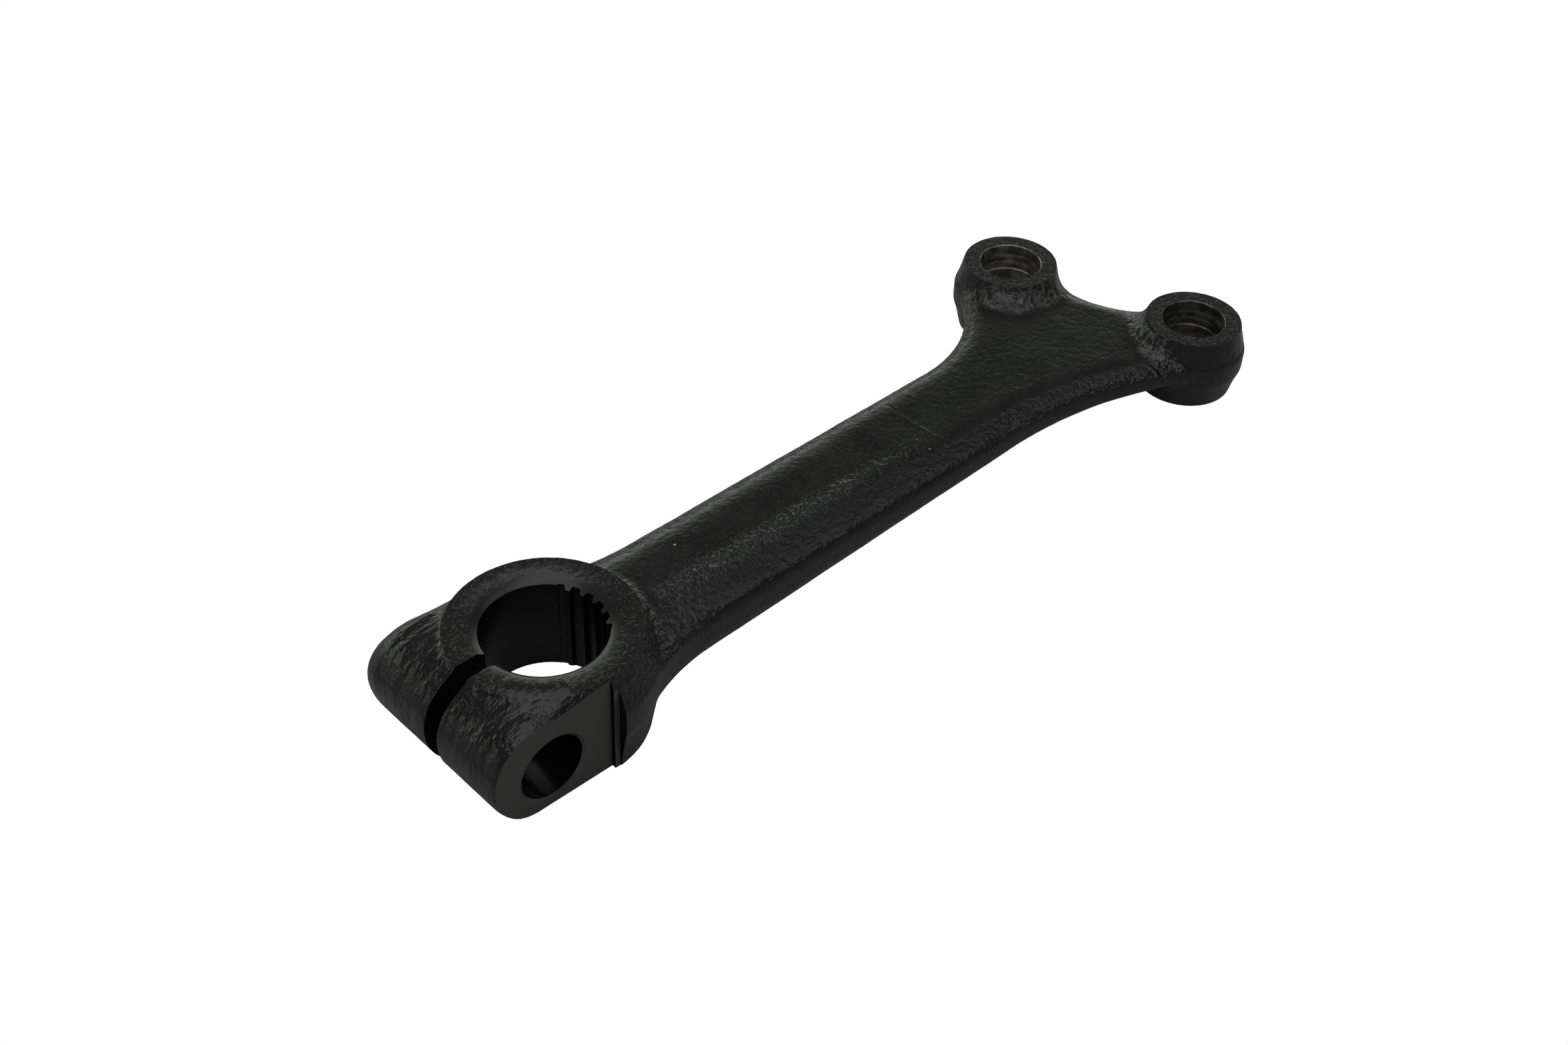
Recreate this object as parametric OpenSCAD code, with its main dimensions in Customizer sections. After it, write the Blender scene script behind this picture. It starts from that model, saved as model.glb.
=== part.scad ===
// Pitman arm: a one-piece steel drop forging. A split, splined clamp eye grips the steering
// box shaft, and a straight arm ends in a two-boss fork for the track rods.
// Millimetres. The bore axis is Z, the arm runs along +X, and z = 0 is the eye's lower face.

/* [Clamp eye] */
// Height of the eye between its faced ends
eye_h = 22; // [18:0.5:28]
// Diameter of the flat ring on the upper end of the eye
eye_face_d = 36.2; // [34:0.2:40]
// Diameter of the flat ring on the lower end of the eye
eye_foot_d = 38.6; // [34:0.2:42]
// Diameter of the eye at the die parting line
eye_d = 42.4; // [40:0.2:46]
// Height of the parting line above the eye's lower face
eye_part_z = 11.8; // [9:0.1:13]
// Height of the trimmed flash band round the eye
eye_band_h = 6.6; // [2:0.1:8]
// Rounding of the eye's rim
eye_rim_r = 0.6; // [0.5:0.1:2]
// Diameter of the plain part of the bore
bore_d = 24; // [20:0.5:26]
// Radial width of the countersink at each end of the bore
bore_lead_w = 1.6; // [0.5:0.1:2]
// Depth of that countersink
bore_lead_h = 1.0; // [0.4:0.1:2]

/* [Spline] */
// Tooth pitches in a full turn of the shaft's spline
spline_pitches = 24; // [18:1:36]
// Teeth left standing in the bore, on the arm's side
spline_teeth = 5; // [3:2:9]
// Height of a tooth above the plain bore
tooth_h = 0.7; // [0.3:0.05:1]
// Depth of the tooth gaps below the plain bore
tooth_root = 0.2; // [0.05:0.05:0.4]
// Share of the pitch that the tip of a tooth takes
tooth_tip = 0.24; // [0.1:0.02:0.35]

/* [Clamp lugs] */
// Distance from the bore axis to the nose of the lugs
nose_reach = 25.9; // [24:0.1:32]
// Distance from the bore axis to the near bolt face, which is milled
near_face_y = 18.3; // [15:0.1:19]
// Distance from the bore axis to the lugs' far side, at the parting line
far_side_y = 22.5; // [18:0.1:25]
// Metal milled off the near lug to make the bolt face
mill_cut = 0.9; // [0.3:0.1:2]
// Distance from the bore axis to the end of the milled face, along the arm
mill_end = 0.2; // [-2:0.1:2]
// Height of the cutter step at that end
mill_step = 0.9; // [0.3:0.1:1.5]
// Length of that step
mill_step_l = 1.2; // [0.5:0.1:3]
// Width of the pinch slot
slot_w = 3.8; // [2:0.1:6]
// Diameter of the pinch bolt's hole
bolt_d = 13.5; // [9:0.1:14]
// Edge break at the near mouth of that hole
bolt_lead = 0.5; // [0.2:0.1:1]
// Distance from the bore axis to the bolt's axis
bolt_x = 12.9; // [11:0.1:18]
// Height of the bolt's axis above the lower face
bolt_z = 8.6; // [8:0.1:12]
// Height that the eye's ring stands above the lugs
ring_proud = 0.8; // [0.4:0.1:3]
// Radius of the nose's near corner, seen from above
near_corner_r = 4; // [4:0.5:12]
// Radius of the nose's far corner, seen from above
far_corner_r = 4.6; // [4:0.1:14]
// Length of the nose's upper rounding, seen from the side
nose_round = 9.2; // [4:0.1:11]
// Length of the nose's lower rounding, seen from the side
nose_foot_round = 8.4; // [4:0.2:11]
// Width of the rounding along the near lug's upper edge
near_round = 2.6; // [1.5:0.1:5.5]
// Width of the rounding along the near lug's lower edge
near_foot_round = 1; // [1:0.1:4]
// Width of the rounding along the far lug's upper and lower edges
far_round = 6.3; // [1.5:0.1:7]

/* [Arm] */
// Width of the arm over the flash band
arm_w = 26.6; // [20:0.2:32]
// Drop from the eye's upper face to the arm's upper face
arm_drop = 3.8; // [2:0.1:6]
// Thickness of the arm at the bore axis
arm_t_eye = 14.7; // [10:0.1:16]
// Thickness of the arm at the fork
arm_t_fork = 6.1; // [5:0.1:12]
// Width of the rounding on the upper edges, at the bore axis
edge_w_eye = 12; // [2:0.2:12.4]
// Width of the rounding on the upper edges, at the fork
edge_w_fork = 4.4; // [2:0.2:7]
// Share of the arm's thickness that the upper rounding takes
edge_share = 0.27; // [0.1:0.01:0.28]
// Width of the rounding on the lower edges
foot_round_w = 3; // [1:0.2:6]
// Share of the arm's thickness that the lower rounding takes
foot_share = 0.26; // [0.1:0.01:0.28]
// Height of the middle of the trimmed flash band, as a share of the arm's thickness
part_share = 0.5; // [0.48:0.01:0.52]
// Height of the flash band, as a share of the arm's thickness
band_share = 0.4; // [0.1:0.01:0.4]
// Height that the flash band stands proud of the drafted sides
band_proud = 0.35; // [0.1:0.05:0.8]
// Draft of the forged sides, in degrees
draft = 7; // [3:0.5:10]
// Radius of the sweep from the arm's sides into the eye
eye_sweep_r = 41; // [10:1:60]

/* [Fork] */
// Distance from the bore axis to the far boss, along the arm
far_boss_x = 152.4; // [130:0.1:175]
// Offset of the far boss from the arm's centre line
far_boss_y = 24.7; // [18:0.1:30]
// Distance from the bore axis to the near boss, along the arm
near_boss_x = 166.3; // [145:0.1:190]
// Offset of the near boss from the arm's centre line
near_boss_y = 16.4; // [12:0.1:26]
// Drop from the eye's upper face to the bosses' upper faces
boss_drop = 0.2; // [-4:0.1:3]
// Height of a boss between its faced ends
boss_h = 16; // [13:0.2:20]
// Diameter of a boss at the die parting line
boss_d = 24.2; // [21:0.2:27]
// Height of the trimmed flash band round a boss
boss_band_h = 5.4; // [2:0.1:7]
// Diameter of the flat face on each end of a boss
boss_face_d = 20.4; // [19:0.2:24]
// Rounding of a boss's rim
boss_rim_r = 0.5; // [0.3:0.1:1.5]
// Diameter of the stud hole in a boss
stud_d = 13.6; // [10:0.1:16]
// Countersink at each end of a stud hole
stud_lead = 0.2; // [0.2:0.1:1]
// Depth of the turned grooves in the wall of a stud hole
groove_depth = 0.35; // [0.1:0.05:0.6]
// Spacing of those grooves
groove_pitch = 1.7; // [1:0.1:3]
// Number of grooves below the mouth of a stud hole
grooves = 3; // [1:1:5]
// Radius of the sweep from the arm to the far boss
far_sweep_r = 34; // [20:1:90]
// Radius of the sweep from the arm to the near boss
near_sweep_r = 86; // [40:1:160]
// Radius of the crotch between the bosses
crotch_r = 16; // [12:0.2:30]
// Height of the fillet from the arm's upper face up to the eye and the bosses
web_fillet = 3.0; // [1:0.1:4]
// Reach of that fillet across the arm's upper face
web_reach = 3.8; // [1:0.1:6]

/* [Hidden] */
$fn = 96;
eps = 0.01;

// Facets of the forged skin; those of the sweeps and the bosses are even
sweep_steps = 14;
boss_steps = 8;
corner_steps = 6;
round_steps = 5;

// Depth to which the skin of the arm and lugs runs inside the round bodies that it joins
bite = 0.8;
lug_bite = 0.2;
flare_bite = 0.15;

// Overrun of the cutting tools past the metal
over = 1;

// Levels
top_z = eye_h - arm_drop;
boss_top = eye_h - boss_drop;
boss_bottom = boss_top - boss_h;
lug_top = eye_h - ring_proud;
boss_part_z = boss_top - boss_h / 2;
fork_x = (far_boss_x + near_boss_x) / 2;

// Radii and centres
eye_r = eye_d / 2;
bore_r = bore_d / 2;
boss_r = boss_d / 2;
stud_r = stud_d / 2;
arm_half = arm_w / 2;
far_boss = [far_boss_x, far_boss_y];
near_boss = [near_boss_x, -near_boss_y];

// Plane geometry
function polar(r, a) = [r * cos(a), r * sin(a)];
function bearing(v) = atan2(v.y, v.x);
function turn(a) = a - 360 * floor(a / 360);
function mix(a, b, t) = a + (b - a) * t;

// Samples of an arc as [point, outward normal] pairs; side is 1 for a convex stretch walked
// anticlockwise, and -1 for a hollow one walked clockwise; first = 1 drops a shared point
function arc(c, r, a, b, side, n, first = 0) =
    let (sweep = side * turn(side * (b - a)))
    [for (i = [first : n]) let (t = a + sweep * i / n) [c + polar(r, t), polar(side, t)]];

// Centre of a hollow sweep that touches the line n * p = d and the circle (c, rc)
function sweep_centre(n, d, r, c, rc, way) =
    let (h = d + r - n * c)
    c + h * n + way * sqrt(max(0, pow(r + rc, 2) - h * h)) * [-n.y, n.x];

near_n = [0, -1];
far_n = [0, 1];
boss_core = boss_r - bite;
eye_core = eye_r - bite;
near_fork_c = sweep_centre(near_n, arm_half, near_sweep_r, near_boss, boss_core, -1);
far_fork_c = sweep_centre(far_n, arm_half, far_sweep_r, far_boss, boss_core, 1);
near_eye_c = sweep_centre(near_n, arm_half, eye_sweep_r, [0, 0], eye_core, 1);
far_eye_c = sweep_centre(far_n, arm_half, eye_sweep_r, [0, 0], eye_core, -1);
span = far_boss - near_boss;
crotch_c = (far_boss + near_boss) / 2
    + sqrt(max(0, pow(crotch_r + boss_core, 2) - span * span / 4)) * [span.y, -span.x] / norm(span);

// Plan of the arm and fork on the parting line, anticlockwise from the arm's near side
arm_plan = concat(
    arc(near_eye_c, eye_sweep_r, bearing(-near_eye_c), 90, -1, sweep_steps),
    arc(near_fork_c, near_sweep_r, 90, bearing(near_boss - near_fork_c), -1, sweep_steps),
    arc(near_boss, boss_core, bearing(near_fork_c - near_boss), bearing(crotch_c - near_boss),
        1, boss_steps, 1),
    arc(crotch_c, crotch_r, bearing(near_boss - crotch_c), bearing(far_boss - crotch_c),
        -1, sweep_steps, 1),
    arc(far_boss, boss_core, bearing(crotch_c - far_boss), bearing(far_fork_c - far_boss),
        1, boss_steps, 1),
    arc(far_fork_c, far_sweep_r, bearing(far_boss - far_fork_c), -90, -1, sweep_steps, 1),
    arc(far_eye_c, eye_sweep_r, -90, bearing(-far_eye_c), -1, sweep_steps)
);
arm_n = len(arm_plan);

// Flat cap of the arm's plan: rungs across the arm, a triangle at the crotch, and rungs
// across each branch of the fork, out to the tip of its boss
fork_i = 2 * sweep_steps + 1;
split_i = fork_i - sweep_steps / 2;
crotch_i = (arm_n - 1) / 2;
tip_i = fork_i + boss_steps / 2;
arm_cap = concat(
    [for (i = [0 : split_i - 1]) [i, i + 1, arm_n - 2 - i, arm_n - 1 - i]],
    [[split_i, crotch_i, arm_n - 1 - split_i]],
    [for (t = [tip_i, arm_n - 1 - tip_i]) [t - 1, t, t + 1]],
    [for (t = [tip_i, arm_n - 1 - tip_i]) for (j = [1 : tip_i - split_i - 1])
        [t - j - 1, t - j, t + j, t + j + 1]]
);

// Plan of the clamp lugs on the parting line, anticlockwise from the far side of the eye
lug_near_y = near_face_y + mill_cut;
lug_arcs = concat(
    arc([far_corner_r - nose_reach, far_side_y - far_corner_r], far_corner_r, 90, 180, 1, corner_steps),
    arc([near_corner_r - nose_reach, near_corner_r - lug_near_y], near_corner_r, 180, 270, 1, corner_steps)
);
lug_plan = concat([[0, eye_r - lug_bite]], [for (p = lug_arcs) p[0]], [[0, -lug_near_y]]);

// Closed skin through rings of points, lowest ring first, with the faces of its lower cap
function flipped(face) = [for (i = [len(face) - 1 : -1 : 0]) face[i]];
module skin(rings, cap) {
    n = len(rings[0]);
    m = len(rings);
    polyhedron(
        points = [for (r = rings) each r],
        faces = concat(
            cap,
            [for (j = [0 : m - 2]) for (i = [0 : n - 1]) let (k = (i + 1) % n)
                each [[j * n + i, (j + 1) * n + i, (j + 1) * n + k],
                    [j * n + i, (j + 1) * n + k, j * n + k]]],
            [for (f = cap) [for (i = flipped(f)) (m - 1) * n + i]]
        )
    );
}

// Arm and fork web: rounded feet, drafted sides, a proud flash band and rounded upper edges.
// The thickness falls from the eye to the fork, and the roundings and the band fall with it.
// The upper roundings nearly meet at the eye, so the arm is crowned there and flat at the fork.
function foot_z(x) = top_z - mix(arm_t_eye, arm_t_fork, x / fork_x);
function edge_w(x) = mix(edge_w_eye, edge_w_fork, x / fork_x);
function inset(p, d) = p[0] - d * p[1];
function arm_point(q, share) = [q.x, q.y, mix(foot_z(q.x), top_z, share)];
upper_draft = tan(draft) * arm_t_eye * (1 - edge_share - part_share - band_share / 2);
lower_draft = tan(draft) * arm_t_eye * (part_share - band_share / 2 - foot_share);
module arm() {
    skin(
        concat(
            [for (i = [0 : round_steps]) let (a = 90 * i / round_steps)
                [for (p = arm_plan)
                    arm_point(inset(p, band_proud + lower_draft + foot_round_w * (1 - sin(a))),
                        foot_share * (1 - cos(a)))]],
            [for (s = [-1, 1]) [for (p = arm_plan) arm_point(p[0], part_share + s * band_share / 2)]],
            [for (i = [0 : round_steps]) let (a = 90 * i / round_steps)
                [for (p = arm_plan)
                    arm_point(inset(p, band_proud + upper_draft + edge_w(p[0].x) * (1 - cos(a))),
                        1 - edge_share * (1 - sin(a)))]]
        ),
        arm_cap
    );
}

// Clamp lugs: a full elliptic nose, and narrower roundings along the sides
function lug_point(p, near, far, front, z) =
    [p.x < 0 ? p.x + front : p.x, p.y < 0 ? p.y + near : p.y - far, z];
module lugs() {
    half = lug_top / 2;
    skin(
        concat(
            [for (i = [0 : round_steps]) let (a = 90 * i / round_steps, q = 1 - sin(a))
                [for (p = lug_plan)
                    lug_point(p, near_foot_round * q, far_round * q, nose_foot_round * q,
                        half * (1 - cos(a)))]],
            [for (i = [1 : round_steps]) let (a = 90 * i / round_steps, q = 1 - cos(a))
                [for (p = lug_plan)
                    lug_point(p, near_round * q, far_round * q, nose_round * q, half + half * sin(a))]]
        ),
        [[for (i = [0 : len(lug_plan) - 1]) i]]
    );
}

// Round body between two faced ends: rounded rims, drafted sides and a trimmed flash band
module forged_round(foot_r, face_r, waist_r, z0, z1, part_z, waist_h, rim_r) {
    rim = [for (i = [0 : round_steps]) let (a = 90 * i / round_steps)
        [rim_r * (1 - sin(a)), rim_r * (1 - cos(a))]];
    lip = waist_h / 2;
    rotate_extrude()
        polygon(concat(
            [[0, z0]],
            [for (p = rim) [foot_r - p.x, z0 + p.y]],
            [[waist_r - band_proud, part_z - lip], [waist_r, part_z - lip + band_proud]],
            [[waist_r, part_z + lip - band_proud], [waist_r - band_proud, part_z + lip]],
            [for (i = [round_steps : -1 : 0]) [face_r - rim[i].x, z1 - rim[i].y]],
            [[0, z1]]
        ));
}

// Hollow fillet around a round body where it rises out of the arm's upper face
module web_flare(r) {
    rotate_extrude()
        polygon(concat(
            [[0, top_z - over], [r + web_reach, top_z - over]],
            [for (i = [0 : round_steps]) let (a = 90 * i / round_steps)
                [r + web_reach * (1 - sin(a)), top_z - flare_bite + web_fillet * (1 - cos(a))]],
            [[0, top_z - flare_bite + web_fillet]]
        ));
}

module eye() {
    forged_round(eye_foot_d / 2, eye_face_d / 2, eye_r, 0, eye_h, eye_part_z, eye_band_h, eye_rim_r);
}

module boss(at) {
    translate(at)
        forged_round(boss_face_d / 2, boss_face_d / 2, boss_r, boss_bottom, boss_top,
            boss_part_z, boss_band_h, boss_rim_r);
}

module blends() {
    intersection() {
        translate([0, 0, top_z - 2 * over])
            linear_extrude(arm_drop + 2 * over)
                polygon([for (p = arm_plan) inset(p, edge_w(p[0].x))]);
        union() {
            web_flare(eye_face_d / 2);
            translate(far_boss) web_flare(boss_face_d / 2);
            translate(near_boss) web_flare(boss_face_d / 2);
        }
    }
}

// Half widths of a tooth gap at the bore and at its root, and of a tooth's buried foot, in pitches
gap_mouth = 0.25;
gap_root = 0.125;
tooth_foot = 0.42;

// Bore with countersunk ends; the spline's teeth stay standing on the arm's side
module bore_cut() {
    pitch = 360 / spline_pitches;
    first = -pitch * (spline_teeth - 1) / 2;
    tip = bore_r - tooth_h;
    root = bore_r + tooth_root;
    difference() {
        union() {
            translate([0, 0, -over]) cylinder(r = bore_r, h = eye_h + 2 * over);
            for (i = [0 : spline_teeth])
                rotate(first + pitch * (i - 0.5))
                    translate([0, 0, -over])
                        linear_extrude(eye_h + 2 * over)
                            polygon([
                                for (e = [1, -1]) polar(bore_r - over, e * pitch * gap_mouth),
                                for (e = [-1, 1]) polar(root, e * pitch * gap_root)
                            ]);
        }
        for (i = [0 : spline_teeth - 1])
            rotate(first + pitch * i)
                translate([0, 0, -2 * over])
                    linear_extrude(eye_h + 4 * over)
                        polygon([
                            for (e = [-1, 1]) polar(tip, e * pitch * tooth_tip / 2),
                            for (e = [1, -1]) polar(root + over, e * pitch * tooth_foot)
                        ]);
    }
    for (up = [0, 1])
        translate([0, 0, up * eye_h])
            mirror([0, 0, up])
                translate([0, 0, -eps])
                    cylinder(r1 = bore_r + bore_lead_w, r2 = bore_r - tooth_h,
                        h = bore_lead_h * (bore_lead_w + tooth_h) / bore_lead_w);
}

module clamp_cuts() {
    reach = nose_reach + over;
    translate([-reach, -slot_w / 2, -over])
        cube([reach, slot_w, eye_h + 2 * over]);
    translate([-bolt_x, 0, bolt_z])
        rotate([90, 0, 0]) {
            cylinder(d = bolt_d, h = 2 * (far_side_y + over), center = true);
            translate([0, 0, near_face_y - bolt_lead])
                cylinder(d1 = bolt_d, d2 = bolt_d + 2 * bolt_lead, h = bolt_lead + eps);
        }
    for (step = [0, 1])
        translate([-reach, -near_face_y - mill_step * step - eye_r, -over])
            cube([reach + mill_end + mill_step_l * step, eye_r, eye_h + 2 * over]);
}

// Half width of a groove, as a share of the grooves' spacing
groove_share = 0.4;
groove_half = groove_pitch * groove_share;

// Stud hole with countersunk mouths and turned grooves below the upper one
module stud_cut(at) {
    translate([at.x, at.y, boss_bottom]) {
        translate([0, 0, -over]) cylinder(r = stud_r, h = boss_h + 2 * over);
        for (up = [0, 1])
            translate([0, 0, up * boss_h])
                mirror([0, 0, up])
                    translate([0, 0, -eps])
                        cylinder(r1 = stud_r + stud_lead, r2 = stud_r, h = stud_lead);
        for (i = [1 : grooves])
            translate([0, 0, boss_h - stud_lead - groove_pitch * (i + 0.5)])
                rotate_extrude()
                    polygon([[stud_r - groove_depth, -groove_half], [stud_r + groove_depth, 0],
                        [stud_r - groove_depth, groove_half]]);
    }
}

module pitman_arm() {
    color([0.14, 0.145, 0.14])
        difference() {
            union() {
                arm();
                lugs();
                eye();
                boss(far_boss);
                boss(near_boss);
                blends();
            }
            bore_cut();
            clamp_cuts();
            stud_cut(far_boss);
            stud_cut(near_boss);
        }
}

pitman_arm();
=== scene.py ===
import math

import bmesh
import bpy
import numpy as np
from mathutils import Matrix, Vector, noise


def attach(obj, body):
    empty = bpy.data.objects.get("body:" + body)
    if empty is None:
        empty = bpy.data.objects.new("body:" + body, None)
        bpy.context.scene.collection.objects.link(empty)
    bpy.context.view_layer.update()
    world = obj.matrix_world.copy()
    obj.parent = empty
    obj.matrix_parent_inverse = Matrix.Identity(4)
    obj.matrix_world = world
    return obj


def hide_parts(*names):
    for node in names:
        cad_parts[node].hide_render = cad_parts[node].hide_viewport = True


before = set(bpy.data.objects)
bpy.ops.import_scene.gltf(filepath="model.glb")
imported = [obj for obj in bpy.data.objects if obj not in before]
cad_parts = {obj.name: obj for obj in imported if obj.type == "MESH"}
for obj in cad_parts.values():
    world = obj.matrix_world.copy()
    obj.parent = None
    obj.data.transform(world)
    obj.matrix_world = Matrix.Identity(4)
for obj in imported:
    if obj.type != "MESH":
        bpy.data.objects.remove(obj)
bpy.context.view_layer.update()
scene = bpy.context.scene
mm = 0.001


# meshes, worked in millimetres until the piece is finished

def solidOf(name, points, faces, material=None):
    mesh = bpy.data.meshes.new(name)
    mesh.from_pydata([tuple(p) for p in points], [], [tuple(f) for f in faces])
    mesh.update()
    piece = bpy.data.objects.new(name, mesh)
    scene.collection.objects.link(piece)
    if material:
        mesh.materials.append(material)
    return piece


def skinOf(name, rings):
    # a closed skin over rings of as many points
    n = len(rings[0])
    points = np.concatenate(rings)
    faces = [tuple(range(n - 1, -1, -1))]
    for j in range(len(rings) - 1):
        for i in range(n):
            k = (i + 1) % n
            faces.append((j * n + i, j * n + k, (j + 1) * n + k, (j + 1) * n + i))
    faces.append(tuple(range((len(rings) - 1) * n, len(rings) * n)))
    return solidOf(name, points, faces)


def turned(name, profile, centre=(0, 0), steps=120, material=None):
    # profile runs from the axis at the bottom to the axis at the top
    rim = profile[1:-1]
    points = []
    for r, z in rim:
        for i in range(steps):
            a = 2 * math.pi * i / steps
            points.append((centre[0] + r * math.cos(a), centre[1] + r * math.sin(a), z))
    foot, head = len(points), len(points) + 1
    points += [(*centre, profile[0][1]), (*centre, profile[-1][1])]
    faces = []
    for i in range(steps):
        k = (i + 1) % steps
        faces.append((foot, k, i))
        faces.append((head, (len(rim) - 1) * steps + i, (len(rim) - 1) * steps + k))
        for j in range(len(rim) - 1):
            faces.append((j * steps + i, j * steps + k, (j + 1) * steps + k, (j + 1) * steps + i))
    return solidOf(name, points, faces, material)


def prism(name, outline, z0, z1, material=None):
    n = len(outline)
    points = [(x, y, z0) for x, y in outline] + [(x, y, z1) for x, y in outline]
    faces = [tuple(range(n - 1, -1, -1)), tuple(range(n, 2 * n))]
    faces += [(i, (i + 1) % n, n + (i + 1) % n, n + i) for i in range(n)]
    return solidOf(name, points, faces, material)


def block(name, low, high, material=None):
    (x0, y0, z0), (x1, y1, z1) = low, high
    return prism(name, [(x0, y0), (x1, y0), (x1, y1), (x0, y1)], z0, z1, material)


def settle(piece):
    graph = bpy.context.evaluated_depsgraph_get()
    mesh = bpy.data.meshes.new_from_object(piece.evaluated_get(graph))
    piece.modifiers.clear()
    piece.data = mesh


def cut(piece, tools, operation="DIFFERENCE"):
    for tool in tools:
        step = piece.modifiers.new("cut", "BOOLEAN")
        step.operation = operation
        step.solver = "EXACT"
        step.material_mode = "TRANSFER"
        step.object = tool
        settle(piece)
        bpy.data.objects.remove(tool)


def smoothStep(low, high, value):
    t = np.clip((value - low) / (high - low), 0, 1)
    return t * t * (3 - 2 * t)


def quarterTurn(steps):
    return np.radians(np.linspace(0, 90, steps + 1))


# materials

def groupOf(name, outputs):
    tree = bpy.data.node_groups.new(name, "ShaderNodeTree")
    for socket in outputs:
        tree.interface.new_socket(socket, in_out="OUTPUT", socket_type="NodeSocketFloat")
    return tree, tree.nodes.new("NodeGroupOutput")


def sums(tree, operation, a, b):
    node = tree.nodes.new("ShaderNodeMath")
    node.operation = operation
    for i, value in enumerate((a, b)):
        if isinstance(value, (int, float)):
            node.inputs[i].default_value = value
        else:
            tree.links.new(value, node.inputs[i])
    return node.outputs[0]


def ranged(tree, value, low, high, toLow=0.0, toHigh=1.0):
    node = tree.nodes.new("ShaderNodeMapRange")
    node.interpolation_type = "SMOOTHSTEP"
    for i, v in enumerate((low, high, toLow, toHigh)):
        node.inputs[i + 1].default_value = v
    tree.links.new(value, node.inputs[0])
    return node.outputs[0]


def grain(tree, where, scale, detail):
    # a scale for each axis stretches the grain
    if isinstance(scale, tuple):
        mapping = tree.nodes.new("ShaderNodeMapping")
        mapping.inputs["Scale"].default_value = scale
        tree.links.new(where, mapping.inputs["Vector"])
        where, scale = mapping.outputs["Vector"], 1.0
    node = tree.nodes.new("ShaderNodeTexNoise")
    node.inputs["Scale"].default_value = scale
    node.inputs["Detail"].default_value = detail
    tree.links.new(where, node.inputs["Vector"])
    return node.outputs[0]


def grainGroup(name, grains):
    # each grain has a scale, a detail and, where it is sharpened, its range
    tree, out = groupOf(name, grains)
    where = tree.nodes.new("ShaderNodeTexCoord").outputs["Object"]
    for socket, (scale, detail, *limits) in grains.items():
        value = grain(tree, where, scale, detail)
        if limits:
            value = ranged(tree, value, *limits)
        tree.links.new(value, out.inputs[socket])
    return tree


wearAndHighlights = {
    # places in mm, each with its radius
    "chips": (((93.3, -7.0, 18.2), 0.42), ((94.0, -7.3, 18.1), 0.25), ((34.9, 4.5, 18.2), 0.3)),
    # painted highlight: pale specks on the webs beside the bosses
    "webHighlights": (((142.0, 20.0, 20.0), 4.5), ((145.1, 15.6, 20.0), 5.0),
               ((150.5, 13.0, 20.0), 4.5), ((154.0, -15.8, 20.0), 4.5)),
    "core": 0.6,  # share of the radius that is full
    "speck": (900, 4.0), "speckRange": (0.46, 0.6),
    "dieLineX": 97.4, "dieLineSlant": 0.055,
    "dieLineWidth": (0.1, 0.5), "dieLineZ": (17.4, 17.9),
}


def wornAndHighlightGroup():
    # paint chips, painted highlights as pale specks on the webs at the bosses, and the die's line
    # across the arm's upper face
    tree, out = groupOf("wornAndHighlightMarks", ["chip", "webHighlight", "dieLine"])
    where = tree.nodes.new("ShaderNodeTexCoord").outputs["Object"]
    link = tree.links.new

    def spots(places):
        total = None
        for place, size in places:
            node = tree.nodes.new("ShaderNodeVectorMath")
            node.operation = "DISTANCE"
            link(where, node.inputs[0])
            node.inputs[1].default_value = [v * mm for v in place]
            away = node.outputs["Value"]
            spot = ranged(tree, away, size * mm * wearAndHighlights["core"], size * mm, 1.0, 0.0)
            total = spot if total is None else sums(tree, "MAXIMUM", total, spot)
        return total

    link(spots(wearAndHighlights["chips"]), out.inputs["chip"])
    # painted highlight: pale specks over patches on the webs by the bosses
    patch = spots(wearAndHighlights["webHighlights"])
    speck = ranged(tree, grain(tree, where, *wearAndHighlights["speck"]), *wearAndHighlights["speckRange"])
    link(sums(tree, "MULTIPLY", patch, speck), out.inputs["webHighlight"])
    axes = tree.nodes.new("ShaderNodeSeparateXYZ")
    link(where, axes.inputs[0])
    slant = sums(tree, "MULTIPLY", axes.outputs["Y"], wearAndHighlights["dieLineSlant"])
    along = sums(tree, "ADD", axes.outputs["X"], slant)
    along = sums(tree, "SUBTRACT", along, wearAndHighlights["dieLineX"] * mm)
    along = sums(tree, "ABSOLUTE", along, 0.0)
    groove = ranged(tree, along, *(v * mm for v in wearAndHighlights["dieLineWidth"]))
    onTop = ranged(tree, axes.outputs["Z"], *(v * mm for v in wearAndHighlights["dieLineZ"]))
    link(sums(tree, "MULTIPLY", groove, onTop), out.inputs["dieLine"])
    return tree


def shaderOf(name):
    material = bpy.data.materials.new(name)
    material.use_nodes = True
    tree = material.node_tree
    return material, tree, tree.nodes["Principled BSDF"]


def useGroup(tree, group):
    node = tree.nodes.new("ShaderNodeGroup")
    node.node_tree = group
    return node.outputs


def attribute(tree, name):
    node = tree.nodes.new("ShaderNodeAttribute")
    node.attribute_name = name
    return node.outputs["Fac"]


def mixed(tree, factor, dark, pale):
    node = tree.nodes.new("ShaderNodeMix")
    node.data_type = "RGBA"  # its colour sockets are inputs 6 and 7 and output 2
    for socket, colour in zip((node.inputs[6], node.inputs[7]), (dark, pale)):
        if isinstance(colour, tuple):
            socket.default_value = (*colour, 1)
        else:
            tree.links.new(colour, socket)
    tree.links.new(factor, node.inputs[0])
    return node.outputs[2]


def bumped(tree, height, strength, distance, onto=None):
    node = tree.nodes.new("ShaderNodeBump")
    node.inputs["Distance"].default_value = distance
    if isinstance(strength, (int, float)):
        node.inputs["Strength"].default_value = strength
    else:
        tree.links.new(strength, node.inputs["Strength"])
    tree.links.new(height, node.inputs["Height"])
    if onto:
        tree.links.new(onto, node.inputs["Normal"])
    return node.outputs["Normal"]


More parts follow.
